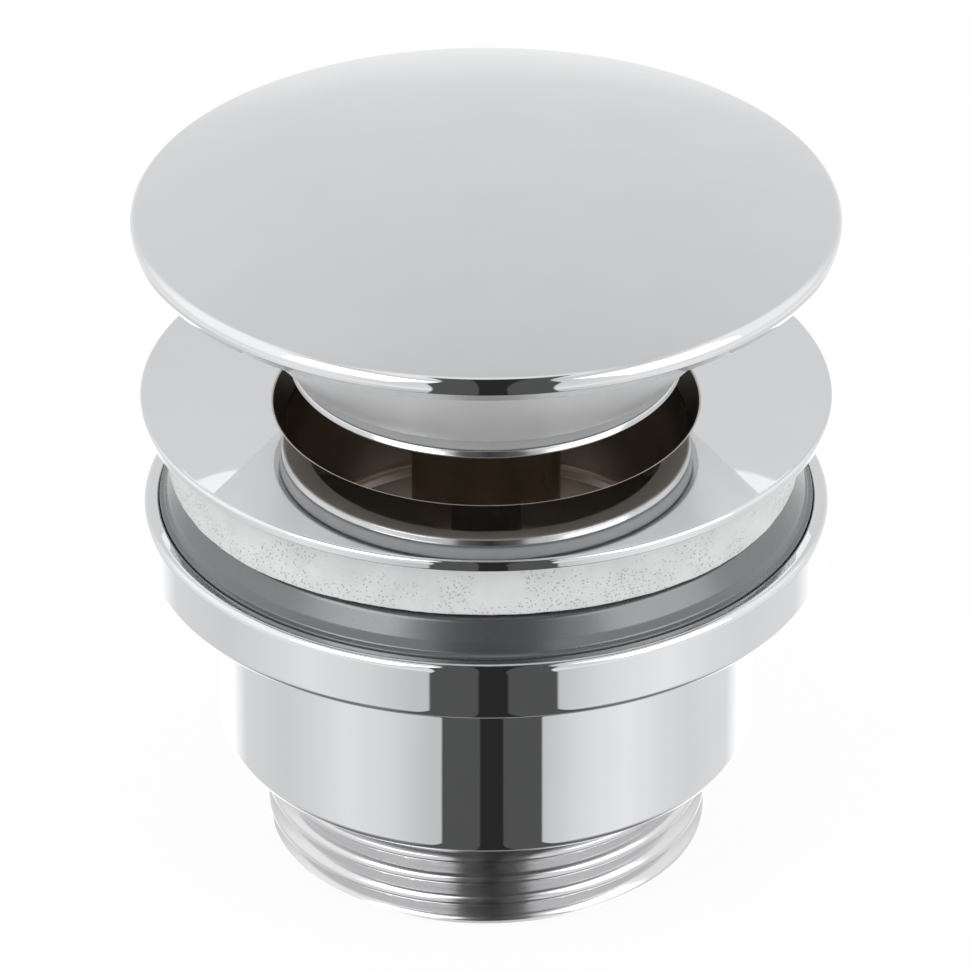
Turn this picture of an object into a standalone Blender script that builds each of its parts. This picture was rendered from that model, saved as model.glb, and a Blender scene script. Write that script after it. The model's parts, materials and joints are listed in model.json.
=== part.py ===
"""Pop-up basin waste: a press-to-open drain with a mushroom cap, standing on its threaded tail.

Metres, +Z up along the drain. The origin is the centre of the tail's lower end.
The plug is drawn raised, as the drain stands open; it presses down by TRAVEL.
"""
import math

import bmesh
import bpy

# Clearance kept between pieces that touch
GAP = 0.0003

# Roundness: how many flats a turned piece has
ROUND_LARGE = 48
ROUND_SMALL = 20

# Flange's tube, from which the other radii step out and in
TUBE_RADIUS = 0.0219
TUBE_WALL = 0.00315
TUBE_FIT = 0.0004

# Lower body: collar, cylinder and the G 1 1/4 tail
CYLINDER_WALL = 0.0030
CYLINDER_HEIGHT = 0.0190
TAIL_STEP = 0.00435
TAIL_WALL = 0.0021
TAIL_THREAD_PITCH = 0.002309
TAIL_THREAD_DEPTH = 0.00125
TAIL_LENGTH = 0.0108
TAIL_CHAMFER = 0.0009
COLLAR_STEP = 0.00695
COLLAR_HEIGHT = 0.0059
COLLAR_LIP = 0.0015
COLLAR_EDGE = 0.0005
RECESS_DEPTH = 0.0037
SHELF_THICKNESS = 0.0027

# Washers and gasket
GASKET_THICKNESS = 0.0019
RUBBER_HEIGHT = 0.0065
RUBBER_SHOULDER = 0.0037
RUBBER_STEP = 0.0004
RUBBER_TAPER = 0.0013
FOAM_HEIGHT = 0.0065
FOAM_INSET = 0.0035

# Flange, its hole and the bore below
FLANGE_OVERHANG = 0.0001
FLANGE_EDGE = 0.0010
FLANGE_ROUND = 0.0004
FLANGE_DISH = 0.0013
FLANGE_LAND = 0.0028
FLANGE_ROOT_DROP = 0.0016
SEAT_WIDTH = 0.0012
SEAT_DEPTH = 0.0021
LEDGE_DEPTH = 0.0175
LEDGE_WIDTH = 0.0010

# Spider that carries the cartridge in the tube
SPOKE_COUNT = 4
SPOKE_WIDTH = 0.0030
SPOKE_HEIGHT = 0.0045
BOSS_RISE = 0.0035
BOSS_HEIGHT = 0.0060
BOSS_WALL = 0.0023

# Cartridge, whose radii step out from its stem
STEM_RADIUS = 0.0030
STEM_PILOT_STEP = 0.0011
STEM_PILOT_LENGTH = 0.0050
CORE_WALL = 0.0012
CORE_SHOULDER = 0.0014
CORE_SHOULDER_HEIGHT = 0.0012
LOCK_NUT_HEIGHT = 0.0026
LOCK_NUT_WALL = 0.0028
SPRING_SCREW_THICKNESS = 0.0027
SPRING_SCREW_SOCKET = 0.0022
SPRING_LENGTH = 0.0133
SPRING_WIRE = 0.0009
SPRING_TURNS = 6.0
SPRING_SIDE_GAP = 0.0004
THRUST_WASHER_THICKNESS = 0.0006
ROTOR_HEIGHT = 0.0052
ROTOR_WALL = 0.0011
CROWN_HEIGHT = 0.0040
CLIP_THICKNESS = 0.0006
CLIP_OPENING = math.radians(60.0)
SLEEVE_WALL = 0.0007
LUG_COUNT = 4
LUG_DEPTH = 0.0006
LUG_HALF_ANGLE = math.radians(15.0)
LUG_SIDE_CLEARANCE = math.radians(5.0)
TOOTH_COUNT = 8
TOOTH_DEPTH = 0.0007
LATCH_CLEARANCE = 0.0003
BUSH_INSERT = 0.0030
BUSH_HEAD = 0.0014
BUSH_COUNTERBORE = 0.0009
WIPER_WIDTH = 0.0011
CROWN_LEDGE = 0.0012
STOP_CLEARANCE = 0.0009

# Plug: cone, seal, nut and domed cap
TRAVEL = 0.0068
SEAT_CLEARANCE = 0.00044
CONE_SLOPE = 0.87
CONE_WALL = 0.0013
CONE_FOOT_STEP = 0.00071
CONE_FLARE = 0.00949
PLUG_LIP_STEP = 0.0005
PLUG_LIP_HEIGHT = 0.0008
SEAL_HEIGHT = 0.0007
SEAL_DEPTH = 0.0009
WEB_THICKNESS = 0.0013
WEB_DROP = 0.0036
CAP_NUT_HEIGHT = 0.0024
CAP_NUT_WALL = 0.0025
CAP_OVERHANG = 0.0040
CAP_UNDERCUT = 0.0006
CAP_LIP_HEIGHT = 0.0009
CAP_EDGE_BAND = 0.0003
CAP_ROLL = 0.0011
CAP_RISE = 0.00505
CAP_WALL = 0.0019
CAP_RIM_WIDTH = 0.0050
CAP_BOSS_RADIUS = 0.0060
CAP_THREAD_DEPTH = 0.0048

# Radii of the lower body, the washers and the flange
TUBE_CLEAR = TUBE_RADIUS + TUBE_FIT
CYLINDER_RADIUS = TUBE_CLEAR + CYLINDER_WALL
COLLAR_RADIUS = CYLINDER_RADIUS + COLLAR_STEP
TAIL_THREAD_RADIUS = CYLINDER_RADIUS - TAIL_STEP
TAIL_CORE_RADIUS = TAIL_THREAD_RADIUS - TAIL_THREAD_DEPTH
TAIL_BORE_RADIUS = TAIL_CORE_RADIUS - TAIL_WALL
FLANGE_RADIUS = COLLAR_RADIUS + FLANGE_OVERHANG
FOAM_RADIUS = FLANGE_RADIUS - FOAM_INSET
LAND_RADIUS = FLANGE_RADIUS - FLANGE_LAND
BORE_RADIUS = TUBE_RADIUS - TUBE_WALL
TUBE_BORE = BORE_RADIUS - LEDGE_WIDTH
HOLE_RADIUS = BORE_RADIUS + SEAT_WIDTH

# Radii of the plug and the cap
SEAT_RADIUS = HOLE_RADIUS - SEAT_CLEARANCE
CONE_FOOT_RADIUS = SEAT_RADIUS - CONE_FOOT_STEP
CONE_TOP_RADIUS = SEAT_RADIUS + CONE_FLARE
PLUG_LIP_RADIUS = CONE_FOOT_RADIUS - PLUG_LIP_STEP
CAP_RADIUS = CONE_TOP_RADIUS + CAP_OVERHANG

# Radii of the cartridge, from its stem outwards
STEM_BORE = STEM_RADIUS + GAP
STEM_PILOT_RADIUS = STEM_RADIUS - STEM_PILOT_STEP
PILOT_BORE = STEM_PILOT_RADIUS + GAP
ROTOR_RADIUS = PILOT_BORE + ROTOR_WALL
ROTOR_LUG_RADIUS = ROTOR_RADIUS + LUG_DEPTH
SLEEVE_RIB_RADIUS = ROTOR_LUG_RADIUS + GAP
SLEEVE_GROOVE_RADIUS = SLEEVE_RIB_RADIUS + LUG_DEPTH
SLEEVE_RADIUS = SLEEVE_GROOVE_RADIUS + SLEEVE_WALL
CROWN_RADIUS = SLEEVE_RIB_RADIUS - GAP
CROWN_LUG_RADIUS = SLEEVE_GROOVE_RADIUS - GAP
CORE_BORE = SLEEVE_RADIUS + GAP
CORE_RADIUS = CORE_BORE + CORE_WALL

# Heights of the lower body, from the tail's end up
TAIL_TOP = TAIL_LENGTH
COLLAR_BOTTOM = TAIL_TOP + CYLINDER_HEIGHT
COLLAR_TOP = COLLAR_BOTTOM + COLLAR_HEIGHT
RECESS_FLOOR = COLLAR_TOP - RECESS_DEPTH
SHELF_TOP = TAIL_TOP + SHELF_THICKNESS
GASKET_BOTTOM = SHELF_TOP + GAP
GASKET_TOP = GASKET_BOTTOM + GASKET_THICKNESS
TUBE_BOTTOM = GASKET_TOP + GAP
RUBBER_BOTTOM = RECESS_FLOOR + GAP
RUBBER_TOP = RUBBER_BOTTOM + RUBBER_HEIGHT
FOAM_BOTTOM = RUBBER_TOP + GAP

# Heights of the flange, and the boss that carries the cartridge
FLANGE_UNDER = FOAM_BOTTOM + FOAM_HEIGHT + GAP
FLANGE_TOP = FLANGE_UNDER + FLANGE_EDGE
RIM_Z = FLANGE_TOP - FLANGE_DISH
LEDGE_Z = RIM_Z - LEDGE_DEPTH
BOSS_BOTTOM = TUBE_BOTTOM + BOSS_RISE
BOSS_TOP = BOSS_BOTTOM + BOSS_HEIGHT
BOSS_BORE = CORE_RADIUS + GAP
BOSS_RADIUS = BOSS_BORE + BOSS_WALL

# Heights of the plug: its cone meets the hole's rim when the plug is down
SEAT_Z = RIM_Z + TRAVEL
CONE_FOOT = SEAT_Z - (SEAT_RADIUS - CONE_FOOT_RADIUS) / CONE_SLOPE
CONE_TOP = SEAT_Z + (CONE_TOP_RADIUS - SEAT_RADIUS) / CONE_SLOPE
SEAL_TOP = CONE_FOOT - GAP
SEAL_BOTTOM = SEAL_TOP - SEAL_HEIGHT
PLUG_LIP_TOP = SEAL_BOTTOM - GAP
PLUG_LIP_BOTTOM = PLUG_LIP_TOP - PLUG_LIP_HEIGHT
CAP_UNDER = CONE_TOP + GAP
BOSS_FACE = CAP_UNDER - WEB_DROP + GAP
WEB_TOP = BOSS_FACE - GAP
WEB_BOTTOM = WEB_TOP - WEB_THICKNESS
CAP_NUT_TOP = WEB_BOTTOM - GAP
CAP_NUT_BOTTOM = CAP_NUT_TOP - CAP_NUT_HEIGHT
CAP_EDGE_LOW = CAP_UNDER + CAP_LIP_HEIGHT
CAP_EDGE_HIGH = CAP_EDGE_LOW + CAP_EDGE_BAND
CAP_SHOULDER = CAP_EDGE_HIGH + CAP_ROLL
CAP_TOP = CAP_SHOULDER + CAP_RISE
STEM_TOP = BOSS_FACE + CAP_THREAD_DEPTH - GAP

# Heights of the cartridge, from its head down, with the plug raised
BUSH_TOP = CAP_NUT_BOTTOM - TRAVEL - STOP_CLEARANCE
BUSH_HEAD_BOTTOM = BUSH_TOP - BUSH_HEAD
CORE_TOP = BUSH_HEAD_BOTTOM - GAP
BUSH_BOTTOM = CORE_TOP - BUSH_INSERT
SLEEVE_TOP = BUSH_BOTTOM - GAP
CLIP_TOP = BUSH_BOTTOM - GAP
CLIP_BOTTOM = CLIP_TOP - CLIP_THICKNESS
CROWN_TOP = CLIP_BOTTOM - GAP
CROWN_BOTTOM = CROWN_TOP - CROWN_HEIGHT
ROTOR_TOP = CROWN_BOTTOM - GAP
ROTOR_BOTTOM = ROTOR_TOP - ROTOR_HEIGHT
THRUST_WASHER_TOP = ROTOR_BOTTOM - GAP
THRUST_WASHER_BOTTOM = THRUST_WASHER_TOP - THRUST_WASHER_THICKNESS
SPRING_TOP = THRUST_WASHER_BOTTOM - GAP
SPRING_BOTTOM = SPRING_TOP - SPRING_LENGTH
SPRING_SCREW_TOP = SPRING_BOTTOM - GAP
SPRING_SCREW_BOTTOM = SPRING_SCREW_TOP - SPRING_SCREW_THICKNESS
CORE_BOTTOM = SPRING_SCREW_BOTTOM - GAP
SLEEVE_BOTTOM = ROTOR_TOP - TRAVEL + LATCH_CLEARANCE
LOCK_NUT_BOTTOM = BOSS_TOP + GAP
LOCK_NUT_TOP = LOCK_NUT_BOTTOM + LOCK_NUT_HEIGHT
CORE_SHOULDER_BOTTOM = LOCK_NUT_TOP + GAP

CROWN_LEDGE_Z = CROWN_BOTTOM + CROWN_LEDGE

# Thread and tooth form, as shares of the pitch, the depth or the width
THREAD_ROOT_SHARE = 0.42
THREAD_CREST_SHARE = 0.12
THREAD_ROUND_SHARE = 0.08
THREAD_ROUND_DEPTH = 0.2
THREAD_SINK = 0.0004
TOOTH_SHARE = 0.90

# Spring's form: points in a turn, turns lying flat at each end, and how closely they lie
SPRING_STEPS = 12
SPRING_DEAD_TURNS = 0.75
SPRING_DEAD_LIFT = 1.05

CLIP_STEPS = 20
CROWN_OF_CAP_STEPS = 7
SHARP_ANGLE = math.radians(35.0)
CUTTER_OVERRUN = 0.0020


def clear_scene():
    """Remove whatever the file holds."""
    for old in list(bpy.data.objects):
        bpy.data.objects.remove(old, do_unlink=True)


def make_collection(name):
    """A collection linked to the scene."""
    group = bpy.data.collections.new(name)
    bpy.context.scene.collection.children.link(group)
    return group


def make_material(name, colour, roughness, metallic):
    """A Principled material."""
    material = bpy.data.materials.new(name)
    material.use_nodes = True
    shader = material.node_tree.nodes["Principled BSDF"]
    shader.inputs["Base Color"].default_value = (*colour, 1.0)
    shader.inputs["Roughness"].default_value = roughness
    shader.inputs["Metallic"].default_value = metallic
    return material


clear_scene()
PARTS = make_collection("basin_waste")
CUTTERS = make_collection("cutters")
CHROME = make_material("chrome", (0.80, 0.81, 0.82), 0.06, 1.0)
BRASS = make_material("brass", (0.62, 0.47, 0.26), 0.25, 1.0)
STEEL = make_material("spring_steel", (0.60, 0.60, 0.60), 0.25, 1.0)
RUBBER = make_material("grey_rubber", (0.18, 0.19, 0.20), 0.45, 0.0)
FOAM = make_material("white_foam", (0.85, 0.85, 0.84), 0.85, 0.0)
ACETAL = make_material("acetal", (0.82, 0.82, 0.78), 0.40, 0.0)


def add_object(name, data, material, group=None):
    """Link an object with its material."""
    piece = bpy.data.objects.new(name, data)
    (group or PARTS).objects.link(piece)
    if material:
        data.materials.append(material)
    return piece


def arc(centre, radius, start, end, steps):
    """Points (r, z) on an arc, its ends included, with angles in degrees."""
    points = []
    for step in range(steps + 1):
        angle = math.radians(start + (end - start) * step / steps)
        points.append((centre[0] + radius * math.cos(angle), centre[1] + radius * math.sin(angle)))
    return points


def turned(name, profile, material, steps, closed=True, group=None):
    """A turned piece: a profile of (r, z) points that runs down its outer side."""
    mesh = bpy.data.meshes.new(name)
    edges = [(i, i + 1) for i in range(len(profile) - 1)]
    if closed:
        edges.append((len(profile) - 1, 0))
    mesh.from_pydata([(r, 0.0, z) for r, z in profile], edges, [])
    piece = add_object(name, mesh, material, group)
    screw = piece.modifiers.new("turn", "SCREW")
    screw.axis = "Z"
    screw.angle = 2.0 * math.pi
    screw.steps = steps
    screw.render_steps = steps
    screw.use_merge_vertices = True
    screw.merge_threshold = 0.00001
    screw.use_smooth_shade = True
    return piece


def baked(piece):
    """The piece with its modifiers applied, as a plain mesh with crisp corners and smooth rounds."""
    depsgraph = bpy.context.evaluated_depsgraph_get()
    mesh = bpy.data.meshes.new_from_object(piece.evaluated_get(depsgraph))
    bm = bmesh.new()
    bm.from_mesh(mesh)
    bmesh.ops.remove_doubles(bm, verts=bm.verts, dist=0.000002)
    bmesh.ops.recalc_face_normals(bm, faces=bm.faces)
    bm.to_mesh(mesh)
    bm.free()
    mesh.shade_smooth()
    mesh.set_sharp_from_angle(angle=SHARP_ANGLE)
    old = piece.data
    piece.modifiers.clear()
    if piece.type == "MESH":
        piece.data = mesh
        if old.users == 0:
            bpy.data.meshes.remove(old)
        return piece
    solid = bpy.data.objects.new(piece.name, mesh)
    solid.matrix_world = piece.matrix_world
    name = piece.name
    bpy.data.objects.remove(piece, do_unlink=True)
    solid.name = name
    PARTS.objects.link(solid)
    return solid


def combine(piece, tool, operation):
    """Add or cut with a Boolean, then keep the tool as a hidden wire guide."""
    step = piece.modifiers.new(operation.lower(), "BOOLEAN")
    step.operation = operation
    step.solver = "EXACT"
    step.object = tool
    bpy.context.view_layer.update()
    baked(piece)
    hide_tool(tool)


def hide_tool(tool):
    """Keep a tool out of the renders and draw it as a wire."""
    tool.hide_render = True
    tool.display_type = "WIRE"


def block(name, size, centre, turn=0.0, tilt=0.0):
    """A box-shaped tool, turned about Z and tilted about its own long axis."""
    mesh = bpy.data.meshes.new(name)
    bm = bmesh.new()
    bmesh.ops.create_cube(bm, size=1.0)
    bmesh.ops.scale(bm, vec=size, verts=bm.verts)
    bm.to_mesh(mesh)
    bm.free()
    tool = add_object(name, mesh, None, CUTTERS)
    tool.rotation_mode = "XYZ"
    tool.rotation_euler = (tilt, 0.0, turn)
    tool.location = centre
    return tool


def hexagon(name, across_flats, bottom, top, bore, material):
    """A hexagon nut with a plain bore and chamfered corners."""
    corner_radius = across_flats / 2.0 / math.cos(math.pi / 6.0)
    mesh = bpy.data.meshes.new(name)
    bm = bmesh.new()
    bmesh.ops.create_cone(
        bm, cap_ends=True, segments=6, radius1=corner_radius, radius2=corner_radius, depth=top - bottom
    )
    bm.to_mesh(mesh)
    bm.free()
    nut = add_object(name, mesh, material)
    nut.location = (0.0, 0.0, (top + bottom) / 2.0)
    chamfer = corner_radius - across_flats / 2.0
    half = chamfer / 2.0
    envelope = turned(
        name + "_envelope",
        [
            (0.0, top),
            (across_flats / 2.0, top),
            (corner_radius, top - half),
            (corner_radius + CUTTER_OVERRUN, top - half),
            (corner_radius + CUTTER_OVERRUN, bottom + half),
            (corner_radius, bottom + half),
            (across_flats / 2.0, bottom),
            (0.0, bottom),
        ],
        None,
        ROUND_SMALL,
        closed=False,
        group=CUTTERS,
    )
    combine(nut, envelope, "INTERSECT")
    drill(nut, bore, bottom, top)
    return nut


def drill(piece, radius, bottom, top):
    """Cut a straight round hole along Z."""
    low = bottom - CUTTER_OVERRUN
    high = top + CUTTER_OVERRUN
    tool = turned(
        piece.name + "_drill",
        [(0.0, high), (radius, high), (radius, low), (0.0, low)],
        None,
        ROUND_SMALL,
        closed=False,
        group=CUTTERS,
    )
    combine(piece, tool, "DIFFERENCE")


def lobed_outline(base_radius, lobe_radius, half_angle, count, steps):
    """Points round a circle whose radius changes inside evenly spaced lobes."""
    points = []
    pitch = 2.0 * math.pi / count
    for lobe in range(count):
        middle = lobe * pitch
        for step in range(steps + 1):
            angle = middle - half_angle + 2.0 * half_angle * step / steps
            points.append((lobe_radius * math.cos(angle), lobe_radius * math.sin(angle)))
        for step in range(steps + 1):
            angle = middle + half_angle + (pitch - 2.0 * half_angle) * step / steps
            points.append((base_radius * math.cos(angle), base_radius * math.sin(angle)))
    return points


def circle_outline(radius, count):
    """Points round a plain circle."""
    return [
        (radius * math.cos(2.0 * math.pi * i / count), radius * math.sin(2.0 * math.pi * i / count))
        for i in range(count)
    ]


def extruded(name, outlines, bottom, top, material):
    """A flat outline with its holes, given a thickness along Z."""
    curve = bpy.data.curves.new(name, "CURVE")
    curve.dimensions = "2D"
    curve.fill_mode = "BOTH"
    curve.extrude = (top - bottom) / 2.0
    for outline in outlines:
        spline = curve.splines.new("POLY")
        spline.points.add(len(outline) - 1)
        for point, (x, y) in zip(spline.points, outline):
            point.co = (x, y, 0.0, 1.0)
        spline.use_cyclic_u = True
    piece = add_object(name, curve, material)
    piece.location = (0.0, 0.0, (top + bottom) / 2.0)
    bpy.context.view_layer.update()
    return baked(piece)


def cut_teeth(piece, count, depth, face_z, radius, upward):
    """Saw-tooth notches all round one end face of a small sleeve or wheel."""
    width = 2.0 * math.pi * radius / count
    angle = math.atan2(depth, width)
    tilt = angle if upward else -angle
    side = 1.0 if upward else -1.0
    height = 2.0 * depth
    for index in range(count):
        turn = 2.0 * math.pi * index / count
        rise = side * height / 2.0 / math.cos(angle)
        centre = (
            radius * math.cos(turn),
            radius * math.sin(turn),
            face_z - side * depth / 2.0 + rise,
        )
        size = (radius, width * TOOTH_SHARE, height)
        combine(piece, block(f"{piece.name}_notch_{index}", size, centre, turn, tilt), "DIFFERENCE")


def make_tail_body():
    """Collar, cylinder and threaded tail, turned in one and bored for the flange's tube."""
    recess_radius = COLLAR_RADIUS - COLLAR_LIP
    e = COLLAR_EDGE
    profile = [
        *arc((COLLAR_RADIUS - e, COLLAR_TOP - e), e, 90.0, 0.0, 2),
        *arc((COLLAR_RADIUS - e, COLLAR_BOTTOM + e), e, 0.0, -90.0, 2),
        (CYLINDER_RADIUS, COLLAR_BOTTOM),
        *arc((CYLINDER_RADIUS - 2.0 * e, TAIL_TOP + 2.0 * e), 2.0 * e, 0.0, -90.0, 3),
        (TAIL_CORE_RADIUS, TAIL_TOP),
        (TAIL_CORE_RADIUS, -TAIL_THREAD_PITCH),
        (TAIL_BORE_RADIUS, -TAIL_THREAD_PITCH),
        (TAIL_BORE_RADIUS, SHELF_TOP),
        (TUBE_CLEAR, SHELF_TOP),
        (TUBE_CLEAR, RECESS_FLOOR),
        (recess_radius, RECESS_FLOOR),
        (recess_radius, COLLAR_TOP),
    ]
    body = baked(turned("tail_body", profile, CHROME, ROUND_LARGE))
    combine(body, thread_coil("tail_thread"), "UNION")
    edge = TAIL_THREAD_RADIUS + CUTTER_OVERRUN
    deep = -3.0 * TAIL_THREAD_PITCH
    trimmer = turned(
        "tail_trimmer",
        [
            (edge, TAIL_CHAMFER + edge - TAIL_THREAD_RADIUS),
            (edge, deep),
            (TAIL_BORE_RADIUS - CUTTER_OVERRUN, deep),
            (TAIL_BORE_RADIUS - CUTTER_OVERRUN, 0.0),
            (TAIL_THREAD_RADIUS - TAIL_CHAMFER, 0.0),
        ],
        None,
        ROUND_LARGE,
        group=CUTTERS,
    )
    combine(body, trimmer, "DIFFERENCE")
    return body


def thread_coil(name):
    """The tail's male thread: a rounded tooth swept along a helix, its root sunk in the tail."""
    root = TAIL_CORE_RADIUS
    crest = TAIL_THREAD_RADIUS
    half_root = THREAD_ROOT_SHARE * TAIL_THREAD_PITCH
    half_crest = THREAD_CREST_SHARE * TAIL_THREAD_PITCH
    shoulder = TAIL_THREAD_RADIUS - THREAD_ROUND_DEPTH * TAIL_THREAD_DEPTH
    half_shoulder = half_crest + THREAD_ROUND_SHARE * TAIL_THREAD_PITCH
    tooth = [
        (root - THREAD_SINK, half_root),
        (root, half_root),
        (shoulder, half_shoulder),
        (crest, half_crest),
        (crest, -half_crest),
        (shoulder, -half_shoulder),
        (root, -half_root),
        (root - THREAD_SINK, -half_root),
    ]
    turns = math.ceil((TAIL_LENGTH + SHELF_THICKNESS / 2.0) / TAIL_THREAD_PITCH)
    start = TAIL_TOP + SHELF_THICKNESS / 2.0 - (turns + 0.5) * TAIL_THREAD_PITCH
    mesh = bpy.data.meshes.new(name)
    count = len(tooth)
    mesh.from_pydata(
        [(r, 0.0, z + start) for r, z in tooth], [(i, (i + 1) % count) for i in range(count)], []
    )
    coil = add_object(name, mesh, None, CUTTERS)
    screw = coil.modifiers.new("sweep", "SCREW")
    screw.axis = "Z"
    screw.angle = 2.0 * math.pi
    screw.screw_offset = TAIL_THREAD_PITCH
    screw.iterations = turns
    screw.steps = ROUND_LARGE
    screw.render_steps = ROUND_LARGE
    bpy.context.view_layer.update()
    baked(coil)
    bm = bmesh.new()
    bm.from_mesh(coil.data)
    bmesh.ops.holes_fill(bm, edges=bm.edges, sides=count)
    bmesh.ops.recalc_face_normals(bm, faces=bm.faces)
    bm.to_mesh(coil.data)
    bm.free()
    return coil


def make_shelf_gasket():
    """Flat rubber ring under the end of the flange's tube."""
    inner = TAIL_BORE_RADIUS + GAP
    outer = TUBE_CLEAR - GAP
    return turned(
        "shelf_gasket",
        [(outer, GASKET_TOP), (outer, GASKET_BOTTOM), (inner, GASKET_BOTTOM), (inner, GASKET_TOP)],
        RUBBER,
        ROUND_LARGE,
    )


def make_rubber_washer():
    """Grey conical washer seated in the collar, with a step below its cone."""
    outer = COLLAR_RADIUS - COLLAR_LIP - GAP
    shoulder_z = RUBBER_BOTTOM + RUBBER_SHOULDER
    inner = TUBE_CLEAR
    profile = [
        (outer - RUBBER_STEP - RUBBER_TAPER, RUBBER_TOP),
        (outer - RUBBER_STEP, shoulder_z + RUBBER_STEP),
        (outer, shoulder_z),
        (outer, RUBBER_BOTTOM),
        (inner, RUBBER_BOTTOM),
        (inner, RUBBER_TOP),
    ]
    return turned("rubber_washer", profile, RUBBER, ROUND_LARGE)


def flange_under(radius):
    """Height of the flange's underside, which slopes down from its outer land to the tube."""
    slope = FLANGE_ROOT_DROP / (LAND_RADIUS - TUBE_RADIUS)
    return FLANGE_UNDER - slope * max(0.0, LAND_RADIUS - radius)


def make_foam_washer():
    """Soft white washer, its top following the flange's underside."""
    inner = TUBE_CLEAR
    profile = [
        (FOAM_RADIUS, flange_under(FOAM_RADIUS) - GAP),
        (FOAM_RADIUS, FOAM_BOTTOM),
        (inner, FOAM_BOTTOM),
        (inner, flange_under(inner) - GAP),
    ]
    return turned("foam_washer", profile, FOAM, ROUND_LARGE)


def make_flange_body():
    """Dished flange and spigot tube in one, with a spider that holds the cartridge."""
    e = FLANGE_ROUND
    profile = [
        *arc((FLANGE_RADIUS - e, FLANGE_TOP - e), e, 90.0, 0.0, 2),
        (FLANGE_RADIUS, FLANGE_UNDER),
        (LAND_RADIUS, FLANGE_UNDER),
        (TUBE_RADIUS, flange_under(TUBE_RADIUS)),
        (TUBE_RADIUS, TUBE_BOTTOM + e),
        (TUBE_RADIUS - e, TUBE_BOTTOM),
        (TUBE_BORE, TUBE_BOTTOM),
        (TUBE_BORE, LEDGE_Z - LEDGE_WIDTH / 2.0),
        (TUBE_BORE + LEDGE_WIDTH / 2.0, LEDGE_Z),
        (BORE_RADIUS, LEDGE_Z),
        (BORE_RADIUS, RIM_Z - SEAT_DEPTH),
        (HOLE_RADIUS, RIM_Z),
    ]
    body = baked(turned("flange_body", profile, CHROME, ROUND_LARGE))
    boss = turned(
        "spider_boss",
        [
            (BOSS_RADIUS, BOSS_TOP),
            (BOSS_RADIUS, BOSS_BOTTOM),
            (BOSS_BORE, BOSS_BOTTOM),
            (BOSS_BORE, BOSS_TOP),
        ],
        None,
        ROUND_SMALL,
        group=CUTTERS,
    )
    combine(body, boss, "UNION")
    reach = (TUBE_BORE + TUBE_RADIUS) / 2.0
    root = (BOSS_BORE + BOSS_RADIUS) / 2.0
    spoke_z = BOSS_BOTTOM + BOSS_HEIGHT / 2.0
    for index in range(SPOKE_COUNT):
        turn = 2.0 * math.pi * (index + 0.5) / SPOKE_COUNT
        middle = (root + reach) / 2.0
        centre = (middle * math.cos(turn), middle * math.sin(turn), spoke_z)
        spoke = block(f"spoke_{index}", (reach - root, SPOKE_WIDTH, SPOKE_HEIGHT), centre, turn)
        combine(body, spoke, "UNION")
    return body


def make_core_shell():
    """Plated shell of the cartridge, with the shoulder that the lock nut meets."""
    shoulder = CORE_RADIUS + CORE_SHOULDER
    shoulder_top = CORE_SHOULDER_BOTTOM + CORE_SHOULDER_HEIGHT
    profile = [
        (CORE_RADIUS, CORE_TOP),
        (CORE_RADIUS, shoulder_top),
        (shoulder, shoulder_top),
        (shoulder, CORE_SHOULDER_BOTTOM),
        (CORE_RADIUS, CORE_SHOULDER_BOTTOM),
        (CORE_RADIUS, CORE_BOTTOM),
        (CORE_BORE, CORE_BOTTOM),
        (CORE_BORE, CORE_TOP),
    ]
    return turned("core_shell", profile, BRASS, ROUND_SMALL)


def make_core_lock_nut():
    """Nut that fixes the cartridge's height on the spider."""
    across = 2.0 * (BOSS_BORE + LOCK_NUT_WALL)
    return hexagon("core_lock_nut", across, LOCK_NUT_BOTTOM, LOCK_NUT_TOP, BOSS_BORE, BRASS)


def make_core_bush():
    """Head of the cartridge, which guides the stem and closes the shell."""
    insert = CORE_BORE - GAP
    pocket = STEM_BORE + WIPER_WIDTH + GAP
    pocket_z = BUSH_TOP - BUSH_COUNTERBORE
    profile = [
        (CORE_RADIUS, BUSH_TOP),
        (CORE_RADIUS, BUSH_HEAD_BOTTOM),
        (insert, BUSH_HEAD_BOTTOM),
        (insert, BUSH_BOTTOM),
        (STEM_BORE, BUSH_BOTTOM),
        (STEM_BORE, pocket_z),
        (pocket, pocket_z),
        (pocket, BUSH_TOP),
    ]
    return turned("core_bush", profile, BRASS, ROUND_SMALL)


def make_stem_wiper():
    """Small rubber ring that wipes the stem at the cartridge's head."""
    outer = STEM_BORE + WIPER_WIDTH
    low = BUSH_TOP - BUSH_COUNTERBORE + GAP
    profile = [(outer, BUSH_TOP), (outer, low), (STEM_BORE, low), (STEM_BORE, BUSH_TOP)]
    return turned("stem_wiper", profile, RUBBER, ROUND_SMALL)


def make_guide_sleeve():
    """Fixed sleeve with grooves for the crown's lugs and a toothed lower end."""
    half_angle = LUG_HALF_ANGLE + LUG_SIDE_CLEARANCE
    inner = lobed_outline(SLEEVE_RIB_RADIUS, SLEEVE_GROOVE_RADIUS, half_angle, LUG_COUNT, 3)
    outlines = [circle_outline(SLEEVE_RADIUS, ROUND_SMALL), inner]
    sleeve = extruded("guide_sleeve", outlines, SLEEVE_BOTTOM, SLEEVE_TOP, ACETAL)
    middle = (SLEEVE_RADIUS + SLEEVE_RIB_RADIUS) / 2.0
    cut_teeth(sleeve, LUG_COUNT, TOOTH_DEPTH, SLEEVE_BOTTOM, middle, False)
    return sleeve


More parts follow.
